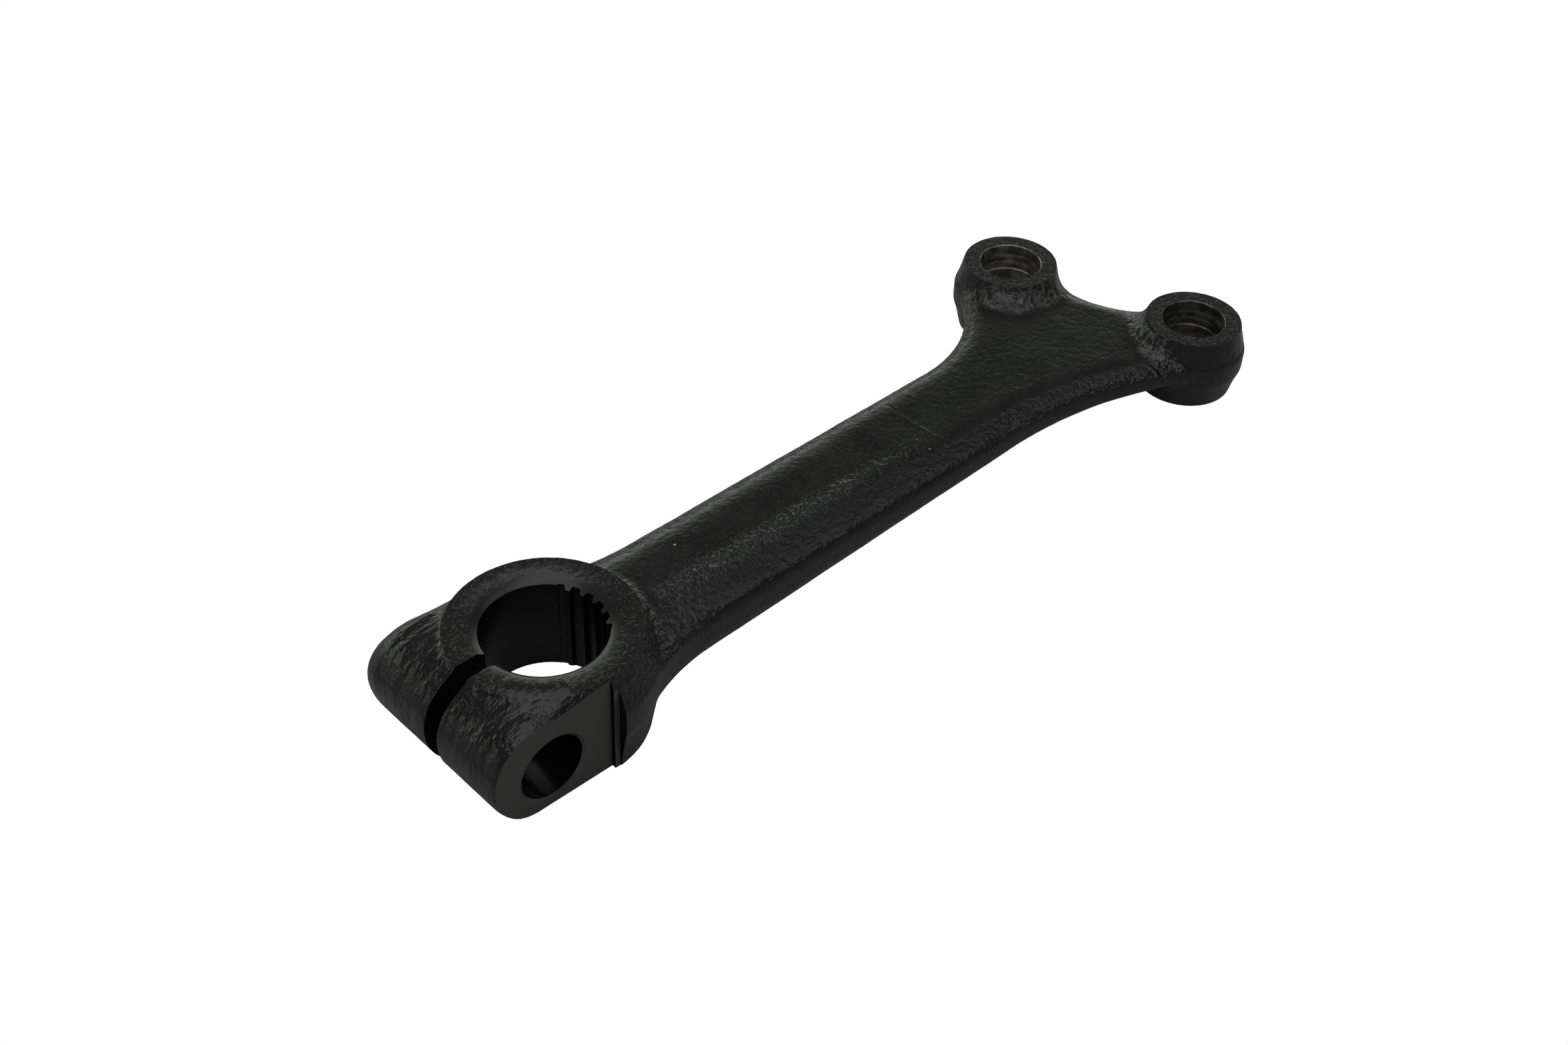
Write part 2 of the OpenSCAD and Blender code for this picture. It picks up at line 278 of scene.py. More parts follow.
forged = grainGroup("forgedSkin", {
    "pebble": (760, 2.0), "fine": (2300, 3.0), "mottle": (140, 4.0),
    "pits": (1500, 2.0, 0.57, 0.66),
    "shear": ((1500, 1500, 220), 3.0), "streak": ((110, 300, 130), 3.0),
})
machined = grainGroup("machinedSkin", {"feed": ((300, 300, 5200), 2.0), "haze": (420, 3.0)})
wornAndHighlight = wornAndHighlightGroup()

coat = {
    "dark": (0.0045, 0.005, 0.0043), "pale": (0.0066, 0.0072, 0.0064), "mottle": (0.35, 0.7),
    # band is a paler colour on the trimmed flash band, partly its sheared finish and partly painted
    # sheen
    "band": (0.0135, 0.0142, 0.013), "bandShare": 0.7,
    # line is painted shade along the flash line's step; chalk is pale scale in the pits
    "chalk": (0.05, 0.052, 0.049), "chalkShare": 0.1, "line": (0.002, 0.0021, 0.002),
    # the first colour here is a painted highlight on the webs by the bosses; the chip colour is
    # bare metal where the paint is chipped
    "webHighlight": (0.075, 0.078, 0.075), "chip": (0.62, 0.62, 0.6),
    "rough": (0.3, 0.75, 0.14, 0.24), "bandRough": 0.12, "lineRough": 0.5, "facedRough": 0.24,
    "pebble": 0.75, "pebbleLeast": 0.1, "lugCalm": 0.78,
    "pebbleRise": 0.0013, "facedRise": 0.001,
    # strength and rise in metres
    "streak": (0.4, 0.0022), "fine": (0.35, 0.00018), "shear": (0.5, 0.0003),
    "dieLine": (0.16, 0.0003), "pits": (0.3, 0.0001),
}


def blackPaint():
    material, tree, shader = shaderOf("blackPaint")
    skin, marks = useGroup(tree, forged), useGroup(tree, wornAndHighlight)
    edge, line, band, lug = (attribute(tree, n + "Zone") for n in ("edge", "line", "band", "lug"))
    colour = mixed(tree, ranged(tree, skin["mottle"], *coat["mottle"]), coat["dark"], coat["pale"])
    # paler flash band: partly its sheared finish, partly painted sheen
    colour = mixed(tree, sums(tree, "MULTIPLY", band, coat["bandShare"]), colour, coat["band"])
    chalk = sums(tree, "MULTIPLY", skin["pits"], coat["chalkShare"])
    colour = mixed(tree, chalk, colour, coat["chalk"])
    # painted shade along the flash line's step
    colour = mixed(tree, line, colour, coat["line"])
    # painted highlight on the webs by the bosses
    colour = mixed(tree, marks["webHighlight"], colour, coat["webHighlight"])
    colour = mixed(tree, marks["chip"], colour, coat["chip"])
    tree.links.new(colour, shader.inputs["Base Color"])
    rough = ranged(tree, skin["mottle"], *coat["rough"])
    rough = sums(tree, "ADD", rough, sums(tree, "MULTIPLY", band, coat["bandRough"]))
    rough = sums(tree, "ADD", rough, sums(tree, "MULTIPLY", line, coat["lineRough"]))
    tree.links.new(rough, shader.inputs["Roughness"])
    calm = sums(tree, "SUBTRACT", 1.0, sums(tree, "MULTIPLY", lug, coat["lugCalm"]))
    strong = sums(tree, "MULTIPLY", sums(tree, "MULTIPLY", edge, coat["pebble"]), calm)
    strong = sums(tree, "ADD", strong, coat["pebbleLeast"])
    normal = bumped(tree, skin["pebble"], strong, coat["pebbleRise"])
    strength, rise = coat["streak"]
    normal = bumped(tree, skin["streak"], sums(tree, "MULTIPLY", lug, strength), rise, normal)
    normal = bumped(tree, skin["fine"], *coat["fine"], normal)
    strength, rise = coat["shear"]
    normal = bumped(tree, skin["shear"], sums(tree, "MULTIPLY", band, strength), rise, normal)
    normal = bumped(tree, marks["dieLine"], *coat["dieLine"], normal)
    tree.links.new(normal, shader.inputs["Normal"])
    return material


def machinedPaint(name, dark, pale, rough, feed, shine=0.5, rise=0.00008):
    material, tree, shader = shaderOf(name)
    shader.inputs["Specular IOR Level"].default_value = shine
    shader.inputs["Roughness"].default_value = rough
    skin = useGroup(tree, machined)
    tree.links.new(mixed(tree, skin["haze"], dark, pale), shader.inputs["Base Color"])
    tree.links.new(bumped(tree, skin["feed"], feed, rise), shader.inputs["Normal"])
    return material


def facedPaint(name, speck, pale, pebble):
    material, tree, shader = shaderOf(name)
    shader.inputs["Roughness"].default_value = coat["facedRough"]
    skin = useGroup(tree, forged)
    colour = mixed(tree, skin["mottle"], coat["dark"], coat["pale"])
    colour = mixed(tree, sums(tree, "MULTIPLY", skin["pits"], speck), colour, pale)
    tree.links.new(colour, shader.inputs["Base Color"])
    normal = bumped(tree, skin["pebble"], pebble, coat["facedRise"])
    tree.links.new(bumped(tree, skin["pits"], *coat["pits"], normal), shader.inputs["Normal"])
    return material


steel = {"haze": (0.35, 0.7), "metallic": 0.85, "rough": 0.42, "feed": (0.5, 0.0001)}


def bareSteel(name, dark, pale):
    material, tree, shader = shaderOf(name)
    shader.inputs["Metallic"].default_value = steel["metallic"]
    shader.inputs["Roughness"].default_value = steel["rough"]
    skin = useGroup(tree, machined)
    colour = mixed(tree, ranged(tree, skin["haze"], *steel["haze"]), dark, pale)
    tree.links.new(colour, shader.inputs["Base Color"])
    tree.links.new(bumped(tree, skin["feed"], *steel["feed"]), shader.inputs["Normal"])
    return material


paint = blackPaint()
milled = machinedPaint("milledPaint", (0.052, 0.0535, 0.0505), (0.066, 0.0677, 0.0642),
                       rough=0.38, feed=0.12)
# the bore's chamfer is a little paler than the black paint: painted sheen
lead = machinedPaint("leadSheenPaint", (0.009, 0.0096, 0.009), (0.012, 0.0127, 0.0118),
                     rough=0.24, feed=0.2)
# darker than the black paint: painted shade in the bore
boreShadeWall = machinedPaint("boreShadePaint", (0.0022, 0.0023, 0.0021), (0.003, 0.0032, 0.0029),
                         rough=0.3, feed=0.15, shine=0.4)
boltWall = machinedPaint("boltPaint", (0.0025, 0.0026, 0.0025), (0.005, 0.0052, 0.0049),
                         rough=0.22, feed=0.6, shine=0.6)
# darkest of all: painted shade in the slot and on the cutter's end walls
slotShadeWall = machinedPaint("slotShadePaint", (0.0015, 0.0016, 0.0015), (0.0025, 0.0026, 0.0025),
                         rough=0.5, feed=0.3, shine=0.15)
faced = facedPaint("facedPaint", speck=0.7, pale=(0.045, 0.047, 0.044), pebble=0.16)
bossFace = facedPaint("bossFacePaint", speck=0.12, pale=(0.03, 0.031, 0.029), pebble=0.08)
# one bare steel, painted darker in the near stud hole as shade and paler in the far one as light
shadedStudSteel = bareSteel("shadedStudSteel", (0.08, 0.076, 0.0665), (0.25, 0.238, 0.208))
litStudSteel = bareSteel("litStudSteel", (0.15, 0.1425, 0.125), (0.46, 0.437, 0.383))
# the bolt hole's mouth: worn bare edge in places, with a painted glint
wornEdgeAndGlint = machinedPaint("wornEdgeAndGlint", (0.008, 0.008, 0.0078), (0.12, 0.12, 0.115),
                         rough=0.25, feed=0.3)
print("materials ready")


# the pitman arm: one forging, its blank first and then its machining

arm = {
    # eye and bore
    "eyeH": 22.0, "eyeFaceR": 18.1, "eyeFootR": 19.3, "eyeR": 21.2, "eyeRim": 0.6,
    "eyePart": 11.8, "eyeBand": 6.6, "eyeTuck": 0.4, "ringProud": 1.0,
    "boreR": 12.0, "leadW": 1.6, "leadH": 1.0, "wallSteps": 110,
    "pitches": 24, "teeth": 5, "toothH": 0.7, "toothRoot": 0.2,
    "toothTip": 0.12, "toothFoot": 0.26, "rootEnd": 0.62, "wallStart": 0.7,  # shares of a pitch
    # lugs
    "noseReach": 25.9, "nearFace": 18.3, "farSide": 22.5, "slotW": 3.8, "lugTuck": 0.2,
    "nearCorner": 4.0, "farCorner": 4.6, "noseRound": 9.2, "noseFoot": 8.4,
    "nearRound": 2.6, "nearFoot": 1.0, "farRound": 6.3, "lugSteps": 12,
    "boltR": 6.75, "boltLead": 0.5, "boltX": 12.9, "boltZ": 8.6, "boltReach": 30.0,
    "millStock": 2.5, "millDeep": 12.0, "millEnd": 0.2, "millStep": 0.9, "millStepEnd": 1.4,
    # arm; the foot, the flash band and the upper edge are shares of the thickness
    "armHalf": 13.3, "armDrop": 3.8, "thickEye": 14.7, "thickFork": 6.1,
    "edgeEye": 14.2, "edgeFork": 5.0, "edgeShare": 0.27, "edgeTuck": 0.1,
    "farTurn": (-0.3, 0.5), "farNarrow": 0.25,
    "footW": 3.0, "footShare": 0.26, "footTuck": 0.3,
    "partShare": 0.5, "bandShare": 0.4, "bandProud": 0.35,
    "bandAtEye": (30, 21), "bandAtBoss": (20, 12.5),
    # near flank from the flash line to the flat: shares of the edge's width and of its depth
    "flank": [(0, 1), (0.02, 0.9), (0.06, 0.8), (0.12, 0.71), (0.25, 0.55), (0.4, 0.385),
              (0.55, 0.22), (0.68, 0.1), (0.8, 0.035), (0.9, 0.008), (1, 0)],
    # fork, bosses and their stud holes
    "farBoss": (152.4, 24.7), "nearBoss": (166.3, -16.4), "bossDrop": 0.2, "bossH": 16.0,
    "bossR": 12.1, "bossFaceR": 10.2, "bossBand": 5.4, "bossRim": 0.5, "bossTuck": 0.2,
    "studR": 6.8, "studLead": 0.2, "studSteps": 96,
    "grooves": 3, "grooveDeep": 0.35, "groovePitch": 1.7, "grooveStart": 0.5,
    "grooveBelow": 0.3, "grooveAbove": 0.12, "grooveLeast": 0.5, "grooveMore": 0.25,
    "ridgeLean": 0.3, "ridgeTurn": 0.7, "ridgeWave": 0.16, "waveRise": 0.6, "waveScale": 1.7,
    # sweeps between them, and the webs that flare up to the faces: hollow and reach
    "eyeSweep": 41.0, "farSweep": 34.0, "nearSweep": 86.0, "crotchR": 16.0, "sweepSteps": 40,
    "eyeFlare": (2.4, 4.2), "farFlare": (1.25, 4.6), "nearFlare": (1.4, 4.2),
    "webFillet": 3.1, "webTuck": 0.1, "webInset": 0.8,
    # making
    "faceStock": 1.2, "facing": 9.0, "rimSteps": 8,
    "over": 1.0, "past": 2.0, "noseOver": 5.0,  # how far cutters run beyond the faces
    "eyeBox": ((-40, -40), (60, 40)), "forkBox": ((120, -50), (200, 60)),
    "voxel": 0.52, "easeShare": 0.5, "easeRounds": 6, "pull": 0.6,
    "ringRounds": 50, "webRounds": 22, "noseRounds": 60,
    "merge": 0.004, "sliver": 0.002, "sharpAngle": 38,
}
topZ = arm["eyeH"] - arm["armDrop"]
farBoss, nearBoss = np.array(arm["farBoss"]), np.array(arm["nearBoss"])
forkX = (farBoss[0] + nearBoss[0]) / 2
bossTop = arm["eyeH"] - arm["bossDrop"]
bossFoot = bossTop - arm["bossH"]
bossPart = bossTop - arm["bossH"] / 2


def heading(v):
    return math.degrees(math.atan2(v[1], v[0]))


def arcOf(centre, r, a, b, side, n, first=0):
    # points with their outward directions, turning left for side 1 and right for side -1
    turn = side * ((side * (b - a)) % 360)
    t = np.radians(a + turn * np.arange(first, n + 1) / n)
    out = np.stack([np.cos(t), np.sin(t)], 1)
    return np.concatenate([np.array(centre) + r * out, side * out], 1)


def sweepCentre(n, d, r, c, rc, way):
    # circle of radius r that touches the line at distance d along n, and the circle rc at c
    h = d + r - n @ c
    return c + h * n + way * math.sqrt(max(0, (r + rc) ** 2 - h * h)) * np.array([-n[1], n[0]])


def armPlan():
    near, far, eyeAt = np.array([0.0, -1.0]), np.array([0.0, 1.0]), np.zeros(2)
    half, s = arm["armHalf"], arm["sweepSteps"]
    eyeCore, bossCore = arm["eyeR"] - arm["eyeTuck"], arm["bossR"] - arm["bossTuck"]
    nearFork = sweepCentre(near, half, arm["nearSweep"], nearBoss, bossCore, -1)
    farFork = sweepCentre(far, half, arm["farSweep"], farBoss, bossCore, 1)
    nearEye = sweepCentre(near, half, arm["eyeSweep"], eyeAt, eyeCore, 1)
    farEye = sweepCentre(far, half, arm["eyeSweep"], eyeAt, eyeCore, -1)
    span = farBoss - nearBoss
    reach = math.sqrt((arm["crotchR"] + bossCore) ** 2 - span @ span / 4)
    square = np.array([span[1], -span[0]])
    crotch = (farBoss + nearBoss) / 2 + reach * square / np.linalg.norm(span)

    def bend(centre, r, start, stop, side):
        return arcOf(centre, r, heading(start - centre), heading(stop - centre), side, s, 1)

    return np.concatenate([
        arcOf(nearEye, arm["eyeSweep"], heading(-nearEye), 90, -1, s),
        arcOf(nearFork, arm["nearSweep"], 90, heading(nearBoss - nearFork), -1, s),
        bend(nearBoss, bossCore, nearFork, crotch, 1),
        bend(crotch, arm["crotchR"], nearBoss, farBoss, -1),
        bend(farBoss, bossCore, crotch, farFork, 1),
        arcOf(farFork, arm["farSweep"], heading(farBoss - farFork), -90, -1, s, 1),
        arcOf(farEye, arm["eyeSweep"], -90, heading(-farEye), -1, s),
    ])


def footZ(x):
    return topZ - (arm["thickEye"] + (arm["thickFork"] - arm["thickEye"]) * x / forkX)


def edgeW(x):
    return arm["edgeEye"] + (arm["edgeFork"] - arm["edgeEye"]) * x / forkX


def armSkin(plan):
    # crowned at the eye, flat at the fork; the far edge is rolled and the near one has a flank
    quarter, flat = quarterTurn(len(arm["flank"]) - 1), np.zeros(len(plan))
    proud, part, band = arm["bandProud"], arm["partShare"], arm["bandShare"] / 2
    levels = [(flat + proud + arm["footTuck"] + arm["footW"] * (1 - math.sin(a)),
               arm["footShare"] * (1 - math.cos(a))) for a in quarter]
    levels += [(flat, part - band), (flat, part + band)]
    far = smoothStep(*arm["farTurn"], plan[:, 3])
    width = edgeW(plan[:, 0]) * (1 - arm["farNarrow"] * far)
    for (across, down), a in zip(arm["flank"], quarter):
        across = across + (1 - math.cos(a) - across) * far
        down = down + (1 - math.sin(a) - down) * far
        levels.append((proud + arm["edgeTuck"] + width * across, 1 - arm["edgeShare"] * down))
    rings = []
    for inset, share in levels:
        at = plan[:, :2] - inset[:, None] * plan[:, 2:]
        foot = footZ(at[:, 0])
        rings.append(np.column_stack([at, foot + share * (topZ - foot)]))
    return skinOf("armSkin", rings)


def lugSkin():
    top, steps, nose = arm["eyeH"] - arm["ringProud"], arm["lugSteps"], arm["noseReach"]
    nearY = arm["nearFace"] + arm["millStock"]
    farR, nearR = arm["farCorner"], arm["nearCorner"]
    arcs = np.concatenate([
        arcOf((farR - nose, arm["farSide"] - farR), farR, 90, 180, 1, steps),
        arcOf((nearR - nose, nearR - nearY), nearR, 180, 270, 1, steps),
    ])[:, :2]
    plan = np.concatenate([[[0, arm["eyeR"] - arm["lugTuck"]]], arcs, [[0, -nearY]]])
    rings = []
    for low in (True, False):
        for a in quarterTurn(steps)[(0 if low else 1):]:
            q = 1 - (math.sin(a) if low else math.cos(a))
            front = (arm["noseFoot"] if low else arm["noseRound"]) * q
            near = (arm["nearFoot"] if low else arm["nearRound"]) * q
            far = arm["farRound"] * q
            z = top / 2 * (1 - math.cos(a)) if low else top / 2 * (1 + math.sin(a))
            x = np.where(plan[:, 0] < 0, plan[:, 0] + front, plan[:, 0])
            y = np.where(plan[:, 1] < 0, plan[:, 1] + near, plan[:, 1] - far)
            rings.append(np.column_stack([x, y, np.full(len(plan), z)]))
    return skinOf("lugSkin", rings)


def roundBody(name, footR, faceR, waistR, z0, z1, part, waist, rim, centre=(0, 0)):
    # coned both ways from a band at the parting line
    quarter = quarterTurn(arm["rimSteps"])
    lip, proud = waist / 2, arm["bandProud"]
    profile = [(0, z0)]
    profile += [(footR - rim * (1 - math.sin(a)), z0 + rim * (1 - math.cos(a))) for a in quarter]
    profile += [(waistR - proud, part - lip), (waistR, part - lip + proud),
                (waistR, part + lip - proud), (waistR - proud, part + lip)]
    profile += [(faceR - rim * (1 - math.sin(a)), z1 - rim * (1 - math.cos(a)))
                for a in quarter[::-1]]
    return turned(name, profile + [(0, z1)], centre)


def flare(name, r, hollow, reach, centre=(0, 0)):
    h, base, foot = arm["webFillet"], topZ - arm["webTuck"], topZ - arm["over"]
    profile = [(0, foot), (r + reach, foot)]
    profile += [(r + reach * (1 - t), base + h * t ** hollow)
                for t in np.linspace(0, 1, arm["rimSteps"] + 1)]
    return turned(name, profile + [(0, base + h)], centre)


def joined(name, parts, material):
    points, faces, count = [], [], 0
    for part in parts:
        mesh = part.data
        points += [tuple(v.co) for v in mesh.vertices]
        faces += [tuple(count + i for i in f.vertices) for f in mesh.polygons]
        count += len(mesh.vertices)
        bpy.data.objects.remove(part)
    return solidOf(name, points, faces, material)


def makeBlank():
    plan = armPlan()
    stock = arm["faceStock"]  # left on the ends for facing
    past = arm["past"]
    parts = [
        armSkin(plan), lugSkin(),
        roundBody("eyeBody", arm["eyeFootR"], arm["eyeFaceR"], arm["eyeR"],
                  -stock, arm["eyeH"] + stock, arm["eyePart"], arm["eyeBand"], arm["eyeRim"]),
    ]
    for name, at in (("far", farBoss), ("near", nearBoss)):
        parts.append(roundBody(name + "Body", arm["bossFaceR"], arm["bossFaceR"], arm["bossR"],
                               bossFoot - stock, bossTop + stock, bossPart, arm["bossBand"],
                               arm["bossRim"], tuple(at)))
    inset = edgeW(plan[:, 0]) * arm["webInset"]
    inner = [tuple(p) for p in plan[:, :2] - inset[:, None] * plan[:, 2:]]
    for name, r, at in (("eye", arm["eyeFaceR"], (0, 0)), ("far", arm["bossFaceR"], farBoss),
                        ("near", arm["bossFaceR"], nearBoss)):
        web = flare(name + "Flare", r, *arm[name + "Flare"], tuple(at))
        cut(web, [prism("clip", inner, topZ - past, topZ + 2 * past)], "INTERSECT")
        parts.append(web)
    blank = joined("pitmanArm", parts, paint)
    step = blank.modifiers.new("fuse", "REMESH")
    step.mode, step.voxel_size, step.use_smooth_shade = "VOXEL", arm["voxel"], True
    settle(blank)
    step = blank.modifiers.new("ease", "SMOOTH")
    step.factor, step.iterations = arm["easeShare"], arm["easeRounds"]
    settle(blank)
    relax(blank.data, arm["ringRounds"], ringRoots)
    relax(blank.data, arm["webRounds"], webRoots)
    relax(blank.data, arm["noseRounds"], noseCorner)
    return blank


def readMesh(mesh):
    n = len(mesh.vertices)
    at, out = np.empty(n * 3), np.empty(n * 3)
    mesh.vertices.foreach_get("co", at)
    mesh.vertices.foreach_get("normal", out)
    return at.reshape(-1, 3), out.reshape(-1, 3)


def reaches(at):
    # distances from the bore, the far boss and the near boss
    return (np.hypot(at[:, 0], at[:, 1]), np.hypot(at[:, 0] - farBoss[0], at[:, 1] - farBoss[1]),
            np.hypot(at[:, 0] - nearBoss[0], at[:, 1] - nearBoss[1]))


def relax(mesh, rounds, weightOf):
    # draws each point towards its neighbours, by its weight
    at, _ = readMesh(mesh)
    ends = np.empty(len(mesh.edges) * 2, dtype=np.int32)
    mesh.edges.foreach_get("vertices", ends)
    a, b = ends.reshape(-1, 2).T
    n = len(at)
    count = np.bincount(a, minlength=n) + np.bincount(b, minlength=n)
    weight = arm["pull"] * weightOf(at)[:, None]
    for _ in range(rounds):
        total = np.stack([np.bincount(a, at[b, k], n) + np.bincount(b, at[a, k], n)
                          for k in range(3)], 1)
        at = at + weight * (total / count[:, None] - at)
    mesh.vertices.foreach_set("co", at.ravel())
    mesh.update()


# where the roots are eased, each pair from nothing to full, in mm
roots = {
    "nearSide": (2, -4), "noseSide": (3, -3), "armSide": (-3, 3),
    "ringStart": 18.2, "ringShift": 1.9, "ringWidth": 1.2, "ringEnd": (27, 23), "ringZ": (15, 18),
    "farShare": 0.5,
    "eyeStart": (18.2, 19.4), "eyeEnd": (28, 23), "bossStart": (10.3, 11.4), "bossEnd": (19, 14.5),
    "webZ": (15.5, 17), "underZ": (12, 9.5), "underX": (40, 60),
    "noseAt": (-22.0, 18.5, 18.0), "noseSpread": 30,
}


def ringRoots(at):
    # the ring runs into the near lug, and stands a little above the far one
    eye, near = np.hypot(at[:, 0], at[:, 1]), smoothStep(*roots["nearSide"], at[:, 1])
    start = roots["ringStart"] - roots["ringShift"] * near
    share = roots["farShare"] + (1 - roots["farShare"]) * near
    around = share * smoothStep(start, start + roots["ringWidth"], eye)
    around = around * smoothStep(*roots["ringEnd"], eye)
    return around * smoothStep(*roots["ringZ"], at[:, 2]) * smoothStep(*roots["noseSide"], at[:, 0])


def webRoots(at):
    # the webs on top, and the bosses' undersides
    eye, far, near = reaches(at)
    byEye = smoothStep(*roots["eyeStart"], eye) * smoothStep(*roots["eyeEnd"], eye)
    byEye = byEye * smoothStep(*roots["armSide"], at[:, 0])
    byBoss = np.maximum(*(smoothStep(*roots["bossStart"], d) * smoothStep(*roots["bossEnd"], d)
                          for d in (far, near)))
    under = smoothStep(*roots["underZ"], at[:, 2]) * smoothStep(*roots["underX"], at[:, 0])
    return np.maximum(byEye, byBoss) * np.maximum(smoothStep(*roots["webZ"], at[:, 2]), under)


def noseCorner(at):
    return np.exp(-((at - roots["noseAt"]) ** 2).sum(1) / roots["noseSpread"])


def bandLine(at):
    # height of the flash band's upper edge
    eye, far, near = reaches(at)
    foot = footZ(np.clip(at[:, 0], 0, forkX))
    line = foot + (arm["partShare"] + arm["bandShare"] / 2) * (topZ - foot)
    line += (arm["eyePart"] + arm["eyeBand"] / 2 - line) * smoothStep(*arm["bandAtEye"], eye)
    boss = bossPart + arm["bossBand"] / 2
    return line + (boss - line) * smoothStep(*arm["bandAtBoss"], np.minimum(far, near))


# relief of the forging skin in mm, by how far its normal points up
hammered = {
    "pebble": 0.55, "finer": 1.1, "finerShare": 0.5, "finerShift": (7, 3, 1),
    "swell": 0.11, "swellShift": (2, 9, 4), "swellLift": 0.06,
    "edgeUp": (0.12, 0.4), "edgeFlat": (0.985, 0.9), "sideUp": (0.4, 0.15),
    "lift": 0.02, "edgeLift": 0.035, "sideLift": 0.02,
    "lineDeep": 0.2, "lineWidth": 0.42, "lineEven": 0.7, "lineSwell": 0.6,
}


def hammerSkin(blank):
    # pebbled forging skin and the edge of the flash band
    at, out = readMesh(blank.data)
    finerShift, swellShift = Vector(hammered["finerShift"]), Vector(hammered["swellShift"])
    pebble = np.array([noise.noise(Vector(p) * hammered["pebble"]) + hammered["finerShare"]
                       * noise.noise(Vector(p) * hammered["finer"] + finerShift) for p in at])
    swell = np.array([noise.noise(Vector(p) * hammered["swell"] + swellShift) for p in at])
    up = out[:, 2]
    edge = smoothStep(*hammered["edgeUp"], up) * smoothStep(*hammered["edgeFlat"], up)
    side = smoothStep(*hammered["sideUp"], np.abs(up))
    rise = hammered["lift"] + hammered["edgeLift"] * edge + hammered["sideLift"] * side
    lift = pebble * rise + hammered["swellLift"] * swell
    gap = at[:, 2] - bandLine(at)
    uneven = hammered["lineEven"] + hammered["lineSwell"] * swell
    lift -= side * hammered["lineDeep"] * np.exp(-(gap / hammered["lineWidth"]) ** 2) * uneven
    at = at + out * lift[:, None]
    blank.data.vertices.foreach_set("co", at.ravel())
    blank.data.update()


def boreOutline():
    pitch, teeth, steps = 2 * math.pi / arm["pitches"], arm["teeth"], arm["wallSteps"]
    plain = arm["boreR"]
    tip, root = plain - arm["toothH"], plain + arm["toothRoot"]
    tipW, footW = pitch * arm["toothTip"], pitch * arm["toothFoot"]
    first = -pitch * (teeth - 1) / 2
    corners = [(first - pitch * arm["rootEnd"], root)]
    for i in range(teeth):
        a = first + pitch * i
        corners += [(a - footW, root), (a - tipW, tip), (a + tipW, tip), (a + footW, root)]
    last = first + pitch * (teeth - 1)
    corners.append((last + pitch * arm["rootEnd"], root))
    start = last + pitch * arm["wallStart"]
    stop = first - pitch * arm["wallStart"] + 2 * math.pi
    corners += [(start + (stop - start) * i / steps, plain) for i in range(steps + 1)]
    return [(r * math.cos(a), r * math.sin(a)) for a, r in corners]


def coneCut(name, r0, r1, z0, z1, material):
    return turned(name, [(0, z0), (r0, z0), (r1, z1), (0, z1)], material=material)


def studCut(name, at, steelPaint):
    # the turned ridges below the mouth run unevenly
    r, lead, deep, pitch = arm["studR"], arm["studLead"], arm["grooveDeep"], arm["groovePitch"]
    over, mouth = arm["over"], arm["studR"] + arm["studLead"] + arm["over"]
    profile = [(0, bossFoot - over), (mouth, bossFoot - over), (r, bossFoot + lead)]
    for i in range(arm["grooves"], 0, -1):
        z = bossTop - lead - pitch * (i + arm["grooveStart"])
        bottom = r + deep * (arm["grooveLeast"] + arm["grooveMore"] * i)
        profile += [(r, z - pitch * arm["grooveBelow"]), (bottom, z),
                    (r, z + pitch * arm["grooveAbove"])]
    profile += [(r, bossTop - lead), (mouth, bossTop + over), (0, bossTop + over)]
    piece = turned(name, profile, tuple(at), arm["studSteps"], steelPaint)
    for v in piece.data.vertices:
        if bossFoot + arm["past"] < v.co.z < bossTop - over:
            a = math.atan2(v.co.y - at[1], v.co.x - at[0])
            spot = Vector((math.cos(a), math.sin(a), v.co.z * arm["waveRise"]))
            wave = arm["ridgeWave"] * noise.noise(spot * arm["waveScale"])
            v.co.z += arm["ridgeLean"] * math.sin(a + arm["ridgeTurn"]) + wave
    return piece


def acrossY(piece, y0):
    place = Matrix.Translation((-arm["boltX"], y0, arm["boltZ"]))
    piece.data.transform(place @ Matrix.Rotation(math.radians(90), 4, "X"))
    return piece


def shadedCutterEnd(piece):
    # the wall left by the cutter's edge, towards the arm, gets the slot's darkest paint as painted
    # shade
    armWall = 3  # a block's faces: foot, top, near, arm's side, far, nose's side
    piece.data.materials.append(slotShadeWall)
    piece.data.polygons[armWall].material_index = 1
    return piece


